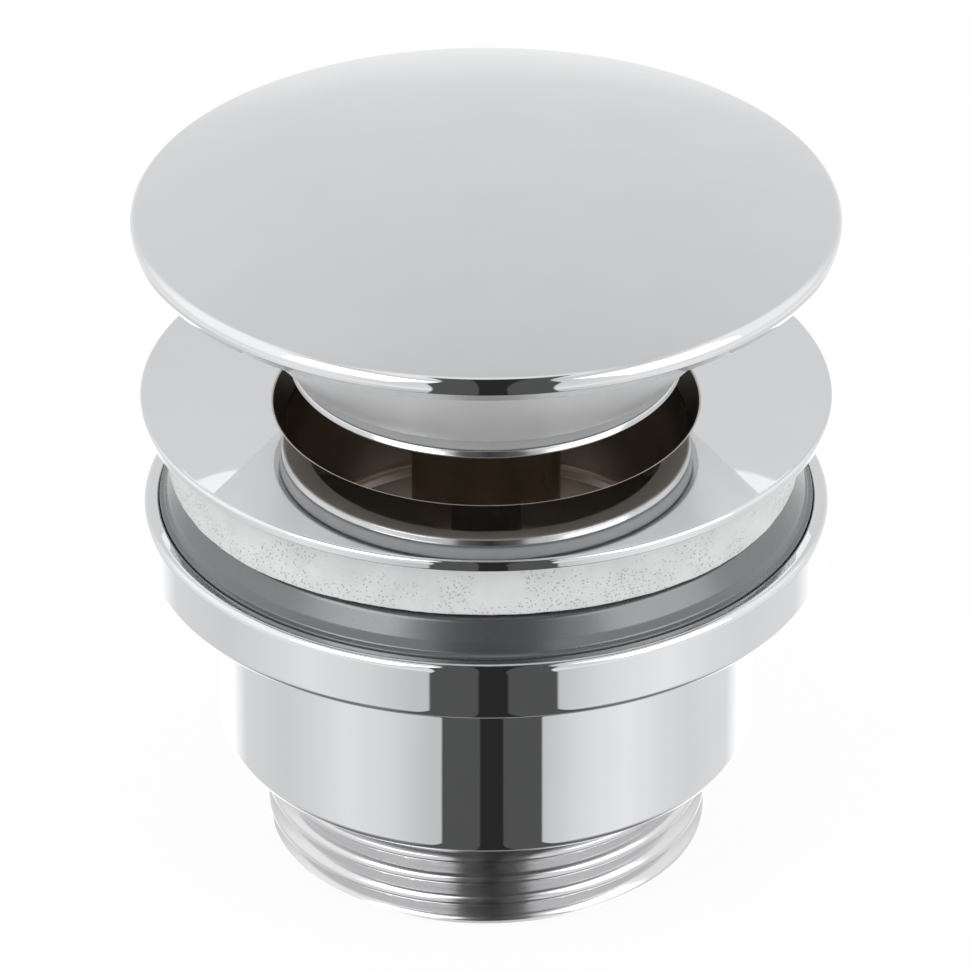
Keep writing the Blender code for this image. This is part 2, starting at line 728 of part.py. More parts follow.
def make_push_crown():
    """Toothed crown on the stem, whose lugs run in the sleeve's grooves."""
    outer = lobed_outline(CROWN_RADIUS, CROWN_LUG_RADIUS, LUG_HALF_ANGLE, LUG_COUNT, 3)
    crown = extruded("push_crown", [outer], CROWN_BOTTOM, CROWN_TOP, ACETAL)
    bore = turned(
        "crown_bore",
        [
            (0.0, CROWN_TOP + CUTTER_OVERRUN),
            (STEM_BORE, CROWN_TOP + CUTTER_OVERRUN),
            (STEM_BORE, CROWN_LEDGE_Z),
            (PILOT_BORE, CROWN_LEDGE_Z),
            (PILOT_BORE, CROWN_BOTTOM - CUTTER_OVERRUN),
            (0.0, CROWN_BOTTOM - CUTTER_OVERRUN),
        ],
        None,
        ROUND_SMALL,
        closed=False,
        group=CUTTERS,
    )
    combine(crown, bore, "DIFFERENCE")
    cut_teeth(crown, TOOTH_COUNT, TOOTH_DEPTH, CROWN_BOTTOM, CROWN_RADIUS, False)
    return crown


def make_latch_rotor():
    """Rotor that steps round under the crown; its lugs catch under the sleeve when the plug is down."""
    outer = lobed_outline(ROTOR_RADIUS, ROTOR_LUG_RADIUS, LUG_HALF_ANGLE, LUG_COUNT, 3)
    rotor = extruded("latch_rotor", [outer], ROTOR_BOTTOM, ROTOR_TOP, ACETAL)
    drill(rotor, PILOT_BORE, ROTOR_BOTTOM, ROTOR_TOP)
    cut_teeth(rotor, TOOTH_COUNT, TOOTH_DEPTH, ROTOR_TOP, ROTOR_RADIUS, True)
    return rotor


def make_thrust_washer():
    """Steel washer between the spring and the rotor."""
    profile = [
        (ROTOR_LUG_RADIUS, THRUST_WASHER_TOP),
        (ROTOR_LUG_RADIUS, THRUST_WASHER_BOTTOM),
        (PILOT_BORE, THRUST_WASHER_BOTTOM),
        (PILOT_BORE, THRUST_WASHER_TOP),
    ]
    return turned("thrust_washer", profile, STEEL, ROUND_SMALL)


def make_core_spring():
    """Helical spring whose end turns lie flat."""
    radius = CORE_BORE - SPRING_SIDE_GAP - SPRING_WIRE / 2.0
    low = SPRING_BOTTOM + SPRING_WIRE / 2.0
    high = SPRING_TOP - SPRING_WIRE / 2.0
    total = int(SPRING_TURNS * SPRING_STEPS)
    dead = SPRING_DEAD_TURNS * SPRING_STEPS
    curve = bpy.data.curves.new("core_spring", "CURVE")
    curve.dimensions = "3D"
    curve.bevel_depth = SPRING_WIRE / 2.0
    curve.bevel_resolution = 1
    curve.use_fill_caps = True
    spline = curve.splines.new("POLY")
    spline.points.add(total)
    end_lift = SPRING_DEAD_LIFT * SPRING_DEAD_TURNS * SPRING_WIRE
    for index, point in enumerate(spline.points):
        angle = 2.0 * math.pi * index / SPRING_STEPS
        if index <= dead:
            z = low + end_lift * index / dead
        elif index >= total - dead:
            z = high - end_lift * (total - index) / dead
        else:
            share = (index - dead) / (total - 2.0 * dead)
            z = low + end_lift + share * (high - low - 2.0 * end_lift)
        point.co = (radius * math.cos(angle), radius * math.sin(angle), z, 1.0)
    spring = add_object("core_spring", curve, STEEL)
    bpy.context.view_layer.update()
    return baked(spring)


def make_spring_screw():
    """Screwed plug that closes the shell under the spring, with a hexagon socket."""
    radius = CORE_BORE - GAP
    profile = [
        (0.0, SPRING_SCREW_TOP),
        (radius, SPRING_SCREW_TOP),
        (radius, SPRING_SCREW_BOTTOM),
        (0.0, SPRING_SCREW_BOTTOM),
    ]
    screw = baked(turned("spring_screw", profile, BRASS, ROUND_SMALL, closed=False))
    mesh = bpy.data.meshes.new("spring_screw_socket")
    bm = bmesh.new()
    bmesh.ops.create_cone(
        bm,
        cap_ends=True,
        segments=6,
        radius1=SPRING_SCREW_SOCKET,
        radius2=SPRING_SCREW_SOCKET,
        depth=SPRING_SCREW_THICKNESS,
    )
    bm.to_mesh(mesh)
    bm.free()
    socket = add_object("spring_screw_socket", mesh, None, CUTTERS)
    socket.location = (0.0, 0.0, SPRING_SCREW_BOTTOM)
    combine(screw, socket, "DIFFERENCE")
    return screw


def make_crown_clip():
    """Open retaining ring above the crown, in a groove of the stem."""
    inner = STEM_BORE - 2.0 * GAP
    outer = CROWN_RADIUS
    half = CLIP_OPENING / 2.0
    span = 2.0 * math.pi - CLIP_OPENING
    angles = [half + span * step / CLIP_STEPS for step in range(CLIP_STEPS + 1)]
    outline = [(outer * math.cos(a), outer * math.sin(a)) for a in angles]
    outline += [(inner * math.cos(a), inner * math.sin(a)) for a in reversed(angles)]
    return extruded("crown_clip", [outline], CLIP_BOTTOM, CLIP_TOP, STEEL)


def make_plunger_stem():
    """Stem that joins the cap to the crown, with a pilot for the rotor and a groove for the clip."""
    groove = STEM_BORE - 3.0 * GAP
    groove_low = CLIP_BOTTOM - GAP
    groove_high = CLIP_TOP + GAP
    shoulder = CROWN_LEDGE_Z + GAP
    profile = [
        (0.0, STEM_TOP),
        (STEM_RADIUS - GAP, STEM_TOP),
        (STEM_RADIUS, STEM_TOP - GAP),
        (STEM_RADIUS, groove_high),
        (groove, groove_high),
        (groove, groove_low),
        (STEM_RADIUS, groove_low),
        (STEM_RADIUS, shoulder),
        (STEM_PILOT_RADIUS, shoulder),
        (STEM_PILOT_RADIUS, shoulder - STEM_PILOT_LENGTH),
        (0.0, shoulder - STEM_PILOT_LENGTH),
    ]
    return turned("plunger_stem", profile, STEEL, ROUND_SMALL, closed=False)


def cone_radius(z):
    """Outer radius of the plug's cone at a height."""
    return SEAT_RADIUS + (z - SEAT_Z) * CONE_SLOPE


def make_plug_cone():
    """Flared plug under the cap, with a lip at its foot and a web that the nut clamps."""
    wall = CONE_WALL * math.sqrt(1.0 + CONE_SLOPE**2)
    groove = PLUG_LIP_RADIUS - SEAL_DEPTH - GAP
    foot_bore = groove - CONE_WALL
    bore_top = CONE_FOOT + (foot_bore + wall - CONE_FOOT_RADIUS) / CONE_SLOPE
    profile = [
        (CONE_TOP_RADIUS, CONE_TOP),
        (CONE_FOOT_RADIUS, CONE_FOOT),
        (groove, CONE_FOOT),
        (groove, PLUG_LIP_TOP),
        (PLUG_LIP_RADIUS, PLUG_LIP_TOP),
        (PLUG_LIP_RADIUS, PLUG_LIP_BOTTOM),
        (foot_bore, PLUG_LIP_BOTTOM),
        (foot_bore, max(bore_top, CONE_FOOT)),
        (cone_radius(WEB_BOTTOM) - wall, WEB_BOTTOM),
        (STEM_BORE, WEB_BOTTOM),
        (STEM_BORE, WEB_TOP),
        (cone_radius(WEB_TOP) - wall, WEB_TOP),
        (CONE_TOP_RADIUS - wall, CONE_TOP),
    ]
    return turned("plug_cone", profile, CHROME, ROUND_LARGE)


def make_plug_seal():
    """Rubber ring in the groove between the cone's foot and the plug's lip."""
    inner = PLUG_LIP_RADIUS - SEAL_DEPTH
    profile = [
        (PLUG_LIP_RADIUS, SEAL_TOP),
        (PLUG_LIP_RADIUS, SEAL_BOTTOM),
        (inner, SEAL_BOTTOM),
        (inner, SEAL_TOP),
    ]
    return turned("plug_seal", profile, RUBBER, ROUND_LARGE)


def make_cap_nut():
    """Thin nut on the stem that clamps the cone's web to the cap's boss."""
    across = 2.0 * (STEM_BORE + CAP_NUT_WALL)
    return hexagon("cap_nut", across, CAP_NUT_BOTTOM, CAP_NUT_TOP, STEM_BORE, BRASS)


def make_cap_dome():
    """Domed cap with a rolled edge and a boss on its underside."""
    edge_radius = CAP_RADIUS - CAP_ROLL
    ball = (edge_radius**2 + CAP_RISE**2) / (2.0 * CAP_RISE)
    centre_z = CAP_TOP - ball
    rim_radius = CAP_RADIUS - CAP_RIM_WIDTH
    profile = [(0.0, CAP_TOP)]
    for step in range(1, CROWN_OF_CAP_STEPS + 1):
        radius = edge_radius * step / CROWN_OF_CAP_STEPS
        profile.append((radius, centre_z + math.sqrt(ball**2 - radius**2)))
    profile += arc((edge_radius, CAP_EDGE_HIGH), CAP_ROLL, 90.0, 0.0, 4)[1:]
    profile += [
        (CAP_RADIUS, CAP_EDGE_LOW),
        (CAP_RADIUS - CAP_UNDERCUT, CAP_UNDER),
        (rim_radius, CAP_UNDER),
    ]
    inner_ball = ball - CAP_WALL
    for step in range(5):
        radius = rim_radius + (CAP_BOSS_RADIUS - rim_radius) * step / 4.0
        profile.append((radius, centre_z + math.sqrt(inner_ball**2 - radius**2)))
    thread_top = BOSS_FACE + CAP_THREAD_DEPTH
    profile += [
        (CAP_BOSS_RADIUS, BOSS_FACE),
        (STEM_BORE, BOSS_FACE),
        (STEM_BORE, thread_top),
        (0.0, thread_top),
    ]
    return turned("cap_dome", profile, CHROME, ROUND_LARGE, closed=False)


def hang_on(pieces, name):
    """Parent pieces to an empty on the drain's axis, on which they move."""
    carrier = bpy.data.objects.new(name, None)
    PARTS.objects.link(carrier)
    for piece in pieces:
        piece.parent = carrier
    return carrier


def build():
    """Make every piece and group what moves together."""
    make_tail_body()
    make_shelf_gasket()
    hang_on([make_rubber_washer()], "clamp_axis")
    hang_on(
        [
            make_flange_body(),
            make_foam_washer(),
            make_core_shell(),
            make_core_lock_nut(),
            make_core_bush(),
            make_stem_wiper(),
            make_guide_sleeve(),
            make_core_spring(),
            make_spring_screw(),
        ],
        "upper_axis",
    )
    hang_on(
        [
            make_push_crown(),
            make_crown_clip(),
            make_plunger_stem(),
            make_thrust_washer(),
            make_plug_cone(),
            make_plug_seal(),
            make_cap_nut(),
            make_cap_dome(),
        ],
        "plug_axis",
    )
    hang_on([make_latch_rotor()], "rotor_axis")


build()
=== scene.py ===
"""Looks of a pop-up basin waste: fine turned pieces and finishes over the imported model.

Profiles are (radius, height) points in millimetres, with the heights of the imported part.
The scene itself is in metres.
"""

import json
import math

import bmesh
import bpy
import numpy as np
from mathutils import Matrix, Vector, noise


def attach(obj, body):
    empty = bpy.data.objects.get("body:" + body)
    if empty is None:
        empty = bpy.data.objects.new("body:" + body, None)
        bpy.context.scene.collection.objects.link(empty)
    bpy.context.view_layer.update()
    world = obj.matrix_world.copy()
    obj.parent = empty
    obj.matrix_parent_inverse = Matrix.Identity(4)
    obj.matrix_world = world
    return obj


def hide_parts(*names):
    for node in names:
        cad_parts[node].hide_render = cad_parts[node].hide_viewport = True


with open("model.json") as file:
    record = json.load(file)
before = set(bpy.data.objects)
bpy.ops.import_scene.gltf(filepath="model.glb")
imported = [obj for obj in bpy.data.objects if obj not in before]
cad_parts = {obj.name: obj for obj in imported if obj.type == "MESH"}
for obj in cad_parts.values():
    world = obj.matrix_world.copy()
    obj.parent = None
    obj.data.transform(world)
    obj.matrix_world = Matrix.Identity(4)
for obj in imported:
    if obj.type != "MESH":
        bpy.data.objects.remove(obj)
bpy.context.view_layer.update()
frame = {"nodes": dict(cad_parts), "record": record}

MM = 0.001
ROUND_LARGE = 256
ROUND_FOAM = 360
ROUND_SMALL = 128
ROUND_STEM = 96
FILLET_STEPS = 8
SUPPORT = 0.08
SUPPORT_SHARE = 0.02
SMOOTH_TURNED = math.radians(28.0)
SMOOTH_SPIDER = math.radians(35.0)
SMOOTH_CARRIED = math.radians(32.0)

# Heights of the lower body, from its lower end up
TAIL_THREAD_TOP = 10.4
TAIL_TOP = 10.8
SHELF_TOP = 13.5
COLLAR_LOW = 29.8
RECESS_Z = 32.0
COLLAR_HIGH = 35.7

# Heights of the washers
RUBBER_LOW = 32.3
SHOULDER_Z = 36.0
RUBBER_HIGH = 38.8
FOAM_LOW = 39.1

# Heights of the flange, its tube and the spider
TUBE_BOTTOM = 16.0
BOSS_LOW = 19.5
BOSS_HIGH = 25.5
LEDGE_Z = 28.1
TUBE_THREAD_TOP = 43.0
RIM_Z = 45.6
UNDER_Z = 45.9
FLANGE_Z = 46.9

# Heights of the cartridge
CORE_LOW = 15.108
SHOULDER_LOW = 28.7
SHOULDER_HIGH = 29.9
BUSH_LOW = 43.608
CORE_HIGH = 46.608
BUSH_SEAT = 46.908
COUNTERBORE_Z = 47.408
BUSH_HIGH = 48.308

# Heights of the stem
PILOT_LOW = 34.908
PILOT_HIGH = 39.908
CLIP_LOW = 42.108
CLIP_HIGH = 43.308
STEM_HIGH = 64.808

# Heights of the plug and the cap
LIP_LOW = 49.484
LIP_HIGH = 50.284
FOOT_Z = 51.584
WEB_LOW = 58.708
WEB_HIGH = 60.008
CAP_BOSS_Z = 60.308
CONE_HIGH = 63.308
CAP_LOW = 63.608
CAP_EDGE = 64.508
CAP_HOLLOW_EDGE = 64.3
CAP_THREAD_END = 65.108
CAP_BOSS_ROOT = 68.0
CAP_HIGH = 70.958

# Radii of the lower body
TAIL_CREST = 20.95
TAIL_ROOT = 19.7
TAIL_BORE = 17.6
CYLINDER = 25.3
COLLAR = 32.25
RECESS = 30.75
SOCKET = 22.3

# Radii of the washers
RUBBER = 30.70
RUBBER_SHOULDER = 30.2
RUBBER_STEP = 29.95
RUBBER_TOP = 28.75
FOAM = 28.85

# Radii of the flange, its tube and the spider
FLANGE = 32.35
LAND = 29.55
HOLE = 19.95
BORE = 18.75
TUBE_BORE = 17.75
TUBE = 21.9
TUBE_ROOT = 21.3
BOSS = 9.6
BOSS_BORE = 7.3

# Radii of the cartridge and the stem
CORE = 7.0
CORE_BORE = 5.8
CORE_SHOULDER = 8.4
BUSH_INSERT = 5.5
COUNTERBORE = 4.7
STEM = 3.0
STEM_HOLE = 3.3
CLIP_GROOVE = 2.4
PILOT = 1.9

# Radii of the plug and the cap
FOOT = 18.8
CONE_TOP = 29.0
LIP = 18.3
GROOVE = 17.1
SEAL_BORE = 17.2
PLUG_BORE = 15.8
CAP = 33.0
CAP_LIP = 32.4
CAP_RIM_INNER = 28.0
CAP_BOSS = 6.0

# Wall thicknesses, threads and other sizes in millimetres
CONE_WALL = 1.3
CAP_WALL = 1.9
CAP_ROLL = 1.3
DOME_BALL = 103.28
SEAT_DEPTH = 2.1
FLANGE_ROOT_DROP = 1.6
TUBE_PITCH = 1.5
TAIL_PITCH = 2.309

# Fillets that recur
CRISP = 0.1
FINE = 0.15
EDGE = 0.2
SOFT = 0.25
EASED = 0.3
WIDE = 0.4


# Node helpers


def new_material(name):
    """A node material with its Principled shader."""
    material = bpy.data.materials.new(name)
    material.use_nodes = True
    return material, material.node_tree, material.node_tree.nodes["Principled BSDF"]


def maths(tree, operation, *sources):
    """A Math node on numbers and sockets; gives its output."""
    made = tree.nodes.new("ShaderNodeMath")
    made.operation = operation
    for slot, source in zip(made.inputs, sources):
        if isinstance(source, (int, float)):
            slot.default_value = source
        else:
            tree.links.new(source, slot)
    return made.outputs[0]


def step_up(tree, value, low, high):
    """0 below low, 1 above high, smooth between."""
    made = tree.nodes.new("ShaderNodeMapRange")
    made.interpolation_type = "SMOOTHSTEP"
    tree.links.new(value, made.inputs["Value"])
    made.inputs["From Min"].default_value = low
    made.inputs["From Max"].default_value = high
    return made.outputs["Result"]


def ramp(tree, value, low, high, from_low=0.3, from_high=0.7):
    """Map a value linearly to a range; noise mostly lies from 0.3 to 0.7."""
    made = tree.nodes.new("ShaderNodeMapRange")
    tree.links.new(value, made.inputs["Value"])
    made.inputs["From Min"].default_value = from_low
    made.inputs["From Max"].default_value = from_high
    made.inputs["To Min"].default_value = low
    made.inputs["To Max"].default_value = high
    return made.outputs["Result"]


def blend_colours(tree, share, first, second):
    """Mix two colours by a socket; a colour is a tuple or a socket."""
    made = tree.nodes.new("ShaderNodeMix")
    made.data_type = "RGBA"
    tree.links.new(share, made.inputs[0])
    for slot, colour in ((made.inputs[6], first), (made.inputs[7], second)):
        if isinstance(colour, tuple):
            slot.default_value = (*colour, 1.0)
        else:
            tree.links.new(colour, slot)
    return made.outputs[2]


def scaled(colour, share):
    """The colour times a share."""
    return tuple(part * share for part in colour)


def object_place(tree):
    """The object's own coordinates."""
    return tree.nodes.new("ShaderNodeTexCoord").outputs["Object"]


def object_height(tree):
    """The object's own height."""
    split = tree.nodes.new("ShaderNodeSeparateXYZ")
    tree.links.new(object_place(tree), split.inputs["Vector"])
    return split.outputs["Z"]


def object_noise(tree, scale, detail=3.0, roughness=0.5, stretch=(1.0, 1.0, 1.0)):
    """Noise over the object's own coordinates."""
    mapping = tree.nodes.new("ShaderNodeMapping")
    mapping.inputs["Scale"].default_value = stretch
    tree.links.new(object_place(tree), mapping.inputs["Vector"])
    made = tree.nodes.new("ShaderNodeTexNoise")
    made.inputs["Scale"].default_value = scale
    made.inputs["Detail"].default_value = detail
    made.inputs["Roughness"].default_value = roughness
    tree.links.new(mapping.outputs["Vector"], made.inputs["Vector"])
    return made.outputs["Fac"]


def object_cells(tree, scale):
    """Voronoi cells over the object's own coordinates."""
    cells = tree.nodes.new("ShaderNodeTexVoronoi")
    cells.inputs["Scale"].default_value = scale
    tree.links.new(object_place(tree), cells.inputs["Vector"])
    return cells


def specks(tree, scale, size, rarity):
    """1 on tiny scattered points, of which only those above the rarity are kept."""
    cells = object_cells(tree, scale)
    chance = tree.nodes.new("ShaderNodeSeparateColor")
    tree.links.new(cells.outputs["Color"], chance.inputs["Color"])
    near = maths(tree, "LESS_THAN", cells.outputs["Distance"], size)
    kept = maths(tree, "GREATER_THAN", chance.outputs["Red"], rarity)
    return maths(tree, "MULTIPLY", near, kept)


def patchy(tree, shader, patches, bright, dark):
    """Base colour between two colours, in patches."""
    colour = blend_colours(tree, ramp(tree, patches, 0.0, 1.0), bright, dark)
    tree.links.new(colour, shader.inputs["Base Color"])


def patchy_gloss(tree, shader, patches, rough):
    """Roughness between two values, in patches."""
    tree.links.new(ramp(tree, patches, *rough), shader.inputs["Roughness"])


def bump(tree, shader, height, strength, distance):
    """Bump on the shader's normal."""
    made = tree.nodes.new("ShaderNodeBump")
    made.inputs["Strength"].default_value = strength
    made.inputs["Distance"].default_value = distance
    tree.links.new(height, made.inputs["Height"])
    tree.links.new(made.outputs["Normal"], shader.inputs["Normal"])


# Finishes


def chrome_finish(name, colour, rough, metallic=1.0):
    """Polished plate: slight haze in patches, hardly any tint, a few dark specks."""
    material, tree, shader = new_material(name)
    shader.inputs["Metallic"].default_value = metallic
    haze = object_noise(tree, 90.0, 4.0, 0.6)
    tint = blend_colours(tree, ramp(tree, haze, 0.0, 1.0), colour, scaled(colour, 0.97))
    speck = specks(tree, scale=240.0, size=0.016, rarity=0.90)
    tint = blend_colours(tree, speck, tint, scaled(colour, 0.55))
    tree.links.new(tint, shader.inputs["Base Color"])
    patchy_gloss(tree, shader, haze, rough)
    bump(tree, shader, object_noise(tree, 160.0, 2.0), strength=0.01, distance=0.0002)
    return material


def metal_finish(name, bright, dark, rough, lines, metallic=1.0, painted_shade_from=None):
    """Turned metal: fine rings, tarnished patches, and painted shade above a height in millimetres, where
    the colour is darkened.
    """
    material, tree, shader = new_material(name)
    shader.inputs["Metallic"].default_value = metallic
    patches = object_noise(tree, 110.0, 2.0, 0.5)
    colour = blend_colours(tree, ramp(tree, patches, 0.0, 1.0), bright, dark)
    # Painted shade: above the given height the colour darkens to about a fifth of the dark tone.
    if painted_shade_from:
        low, high = (painted_shade_from - 0.3) * MM, (painted_shade_from + 0.3) * MM
        painted_shade_share = step_up(tree, object_height(tree), low, high)
        colour = blend_colours(tree, painted_shade_share, colour, scaled(dark, 0.22))
    tree.links.new(colour, shader.inputs["Base Color"])
    patchy_gloss(tree, shader, patches, rough)
    rings = object_noise(tree, 60.0, 3.0, 0.6, stretch=(1.0, 1.0, 90.0))
    bump(tree, shader, rings, strength=lines, distance=0.00008)
    return material


def rubber_finish():
    """Moulded grey rubber with a glossy skin."""
    material, tree, shader = new_material("grey_rubber")
    patches = object_noise(tree, 120.0, 4.0, 0.6)
    patchy(tree, shader, patches, (0.052, 0.058, 0.065), (0.042, 0.047, 0.053))
    patchy_gloss(tree, shader, patches, (0.24, 0.32))
    shader.inputs["Specular IOR Level"].default_value = 0.9
    shader.inputs["Coat Weight"].default_value = 0.75
    shader.inputs["Coat IOR"].default_value = 2.0
    shader.inputs["Coat Roughness"].default_value = 0.22
    bump(tree, shader, object_noise(tree, 1400.0, 3.0, 0.6), strength=0.05, distance=0.0001)
    return material


def foam_finish():
    """White closed-cell foam with tiny dark pores, more of them lower down."""
    material, tree, shader = new_material("white_foam")
    cells = object_cells(tree, 2900.0)
    cloud = object_noise(tree, 300.0, 4.0, 0.6)
    chance = object_noise(tree, 190.0, 2.0, 0.5)
    lower = ramp(tree, object_height(tree), 0.10, -0.14, from_low=0.040, from_high=0.0450)
    spot = maths(tree, "SUBTRACT", 1.0, step_up(tree, cells.outputs["Distance"], 0.12, 0.36))
    rare = step_up(tree, maths(tree, "ADD", chance, lower), 0.46, 0.56)
    pore = maths(tree, "MULTIPLY", spot, rare)
    skin = blend_colours(tree, ramp(tree, cloud, 0.0, 1.0), (0.73, 0.735, 0.74), (0.64, 0.645, 0.65))
    tree.links.new(blend_colours(tree, pore, skin, (0.42, 0.42, 0.42)), shader.inputs["Base Color"])
    shader.inputs["Roughness"].default_value = 0.9
    shader.inputs["Specular IOR Level"].default_value = 0.2
    texture = maths(tree, "SUBTRACT", maths(tree, "MULTIPLY", cloud, 0.6), pore)
    bump(tree, shader, texture, strength=0.35, distance=0.0003)
    return material


def plastic_finish(name, bright, dark):
    """Moulded plastic or silicone with a faint grain."""
    material, tree, shader = new_material(name)
    patchy(tree, shader, object_noise(tree, 200.0, 3.0), bright, dark)
    shader.inputs["Roughness"].default_value = 0.42
    bump(tree, shader, object_noise(tree, 2500.0, 2.0), strength=0.06, distance=0.0001)
    return material


CHROME = chrome_finish("chrome_plate", (0.80, 0.81, 0.82), rough=(0.018, 0.035))
PLUG_CHROME = chrome_finish("plug_plate", (0.91, 0.915, 0.92), rough=(0.32, 0.40), metallic=0.6)
THREAD_CHROME = chrome_finish("thread_plate", (0.72, 0.72, 0.73), rough=(0.13, 0.19))
# Rim band: a pale warm, mostly matt plate on the hole's edge fillet, a painted highlight that makes the edge
# a thin bright line.
RIM_HIGHLIGHT_PLATE = chrome_finish("painted_rim_highlight", (0.92, 0.88, 0.80), rough=(0.34, 0.42), metallic=0.3)
# Bore metal is raw brass; above 43.3 mm, on the seat by the hole's rim, its colour is painted shade.
BORE_METAL = metal_finish(
    "bore_metal", (0.44, 0.38, 0.33), (0.36, 0.31, 0.27), rough=(0.28, 0.36), lines=0.05, painted_shade_from=43.3
)
HOLLOW_METAL = metal_finish(
    "hollow_metal", (0.78, 0.72, 0.65), (0.68, 0.62, 0.56), rough=(0.40, 0.50), lines=0.05, metallic=0.2
)
BRASS = metal_finish(
    "turned_brass", (0.65, 0.56, 0.44), (0.58, 0.49, 0.38), rough=(0.26, 0.32), lines=0.01
)
STEEL = metal_finish(
    "spring_steel", (0.58, 0.58, 0.57), (0.48, 0.48, 0.47), rough=(0.22, 0.32), lines=0.1
)
RUBBER_SKIN = rubber_finish()
SEAL_SKIN = plastic_finish("seal_silicone", (0.42, 0.425, 0.43), (0.36, 0.365, 0.37))
FOAM_SKIN = foam_finish()
ACETAL = plastic_finish("acetal", (0.80, 0.80, 0.76), (0.74, 0.74, 0.70))

SLOT_FINISH = {
    "chrome": CHROME,
    "brass": BRASS,
    "spring_steel": STEEL,
    "grey_rubber": RUBBER_SKIN,
    "white_foam": FOAM_SKIN,
    "acetal": ACETAL,
}


# Turned shapes


def rounded(corners, closed):
    """Points of a profile whose (r, z, fillet) corners are rounded, with support points beside."""
    points = []
    count = len(corners)
    for i, (r, z, fillet) in enumerate(corners):
        here = Vector((r, z))
        if fillet <= 0.0 or (not closed and i in (0, count - 1)):
            points.append((r, z))
            continue
        before = Vector(corners[i - 1][:2]) - here
        after = Vector(corners[(i + 1) % count][:2]) - here
        a, b = before.normalized(), after.normalized()
        half = a.angle(b) / 2.0
        reach = min(fillet / math.tan(half), before.length * 0.48, after.length * 0.48)
        radius = reach * math.tan(half)
        centre = here + (a + b).normalized() * (radius / math.sin(half))
        start = here + a * reach - centre
        end = here + b * reach - centre
        turn = math.atan2(start.x * end.y - start.y * end.x, start.dot(end))
        support = min(SUPPORT, before.length * SUPPORT_SHARE, after.length * SUPPORT_SHARE)
        points.append(tuple(here + a * (reach + support)))
        for k in range(FILLET_STEPS + 1):
            angle = turn * k / FILLET_STEPS
            c, s = math.cos(angle), math.sin(angle)
            points.append((centre.x + start.x * c - start.y * s, centre.y + start.x * s + start.y * c))
        points.append(tuple(here + b * (reach + support)))
    return points


def lathe(name, points, material, closed=True, radius_at=None, segments=ROUND_LARGE):
    """Turn (r, z) points round Z. radius_at(angle, r, z) may change the radius, as on a thread."""
    turns = np.arange(segments) * 2.0 * math.pi / segments
    rows = len(points)
    verts = []
    for angle in turns:
        c, s = math.cos(angle), math.sin(angle)
        for r, z in points:
            radius = radius_at(angle, r, z) if radius_at else r
            verts.append((radius * c * MM, radius * s * MM, z * MM))
    faces = []
    last = rows if closed else rows - 1
    for i in range(segments):
        here, there = i * rows, (i + 1) % segments * rows
        for k in range(last):
            after = (k + 1) % rows
            faces.append((here + k, here + after, there + after, there + k))
    mesh = bpy.data.meshes.new(name)
    mesh.from_pydata(verts, [], faces)
    bm = bmesh.new()
    bm.from_mesh(mesh)
    bmesh.ops.remove_doubles(bm, verts=bm.verts, dist=1e-7)
    bmesh.ops.recalc_face_normals(bm, faces=bm.faces)
    bm.to_mesh(mesh)
    bm.free()
    mesh.shade_smooth()
    mesh.set_sharp_from_angle(angle=SMOOTH_TURNED)
    piece = bpy.data.objects.new(name, mesh)
    bpy.context.scene.collection.objects.link(piece)
    mesh.materials.append(material)
    return piece


def place(piece, body, slot, *nodes):
    """The piece rides on a body and stands for its nodes, which it hides. The slot is not used."""
    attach(piece, body)
    if nodes:
        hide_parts(*nodes)


def spaced(low, high, count):
    """Evenly spaced numbers, both ends included."""
    return [low + (high - low) * i / (count - 1) for i in range(count)]


def crest_share(angle, z, pitch):
    """0 at a right-hand thread's root and 1 at its crest."""
    phase = (z / pitch - angle / (2.0 * math.pi)) % 1.0
    return (0.5 - 0.5 * math.cos(2.0 * math.pi * phase)) ** 0.6


def threaded(angle, z, root, crest, pitch, top, fade):
    """Radius on a thread, which fades out over the millimetres below its top."""
    share = min(1.0, max(0.0, (top - z) / fade))
    return root + (crest - root) * crest_share(angle, z, pitch) * share


def paint(piece, extra, choose):
    """Add finishes and give each face the one that choose(r, z) names by number."""
    for material in extra:
        piece.data.materials.append(material)
    for face in piece.data.polygons:
        x, y, z = face.center
        face.material_index = choose(math.hypot(x, y) / MM, z / MM)


# Cap


def make_cap():
    """Domed cap: a shallow ball, a tangent roll, an undercut lip and a hollow with a boss."""
    ball_z = CAP_HIGH - DOME_BALL
    roll_r = CAP - CAP_ROLL
    roll_z = ball_z + math.sqrt((DOME_BALL - CAP_ROLL) ** 2 - roll_r**2)
    tilt = math.asin(roll_r / (DOME_BALL - CAP_ROLL))
    points = [(0.0, CAP_HIGH)]
    for angle in spaced(tilt / 40.0, tilt, 40):
        points.append((DOME_BALL * math.sin(angle), ball_z + DOME_BALL * math.cos(angle)))
    for angle in spaced(tilt, math.pi / 2.0, 19)[1:]:
        points.append((roll_r + CAP_ROLL * math.sin(angle), roll_z + CAP_ROLL * math.cos(angle)))
    under = [
        (CAP, roll_z, 0.0),
        (CAP, CAP_EDGE, 0.12),
        (CAP_LIP, CAP_LOW, EDGE),
        (CAP_RIM_INNER, CAP_LOW, EASED),
        (27.6, CAP_HOLLOW_EDGE, EDGE),
    ]
    points += rounded(under, False)[1:]
    inner = DOME_BALL - CAP_WALL
    for r in spaced(26.8, 6.6, 14):
        points.append((r, ball_z + math.sqrt(inner**2 - r**2)))
    boss = [
        (6.6, 68.7, 0.0),
        (CAP_BOSS, CAP_BOSS_ROOT, EASED),
        (CAP_BOSS, CAP_BOSS_Z, EDGE),
        (STEM_HOLE, CAP_BOSS_Z, CRISP),
        (STEM_HOLE, CAP_THREAD_END, 0.0),
    ]
    points += rounded(boss, False)[1:]
    points.append((0.0, CAP_THREAD_END))
    place(lathe("cap", points, CHROME, closed=False), "plug", "chrome", "cap_dome")


# Plug, seal and stem


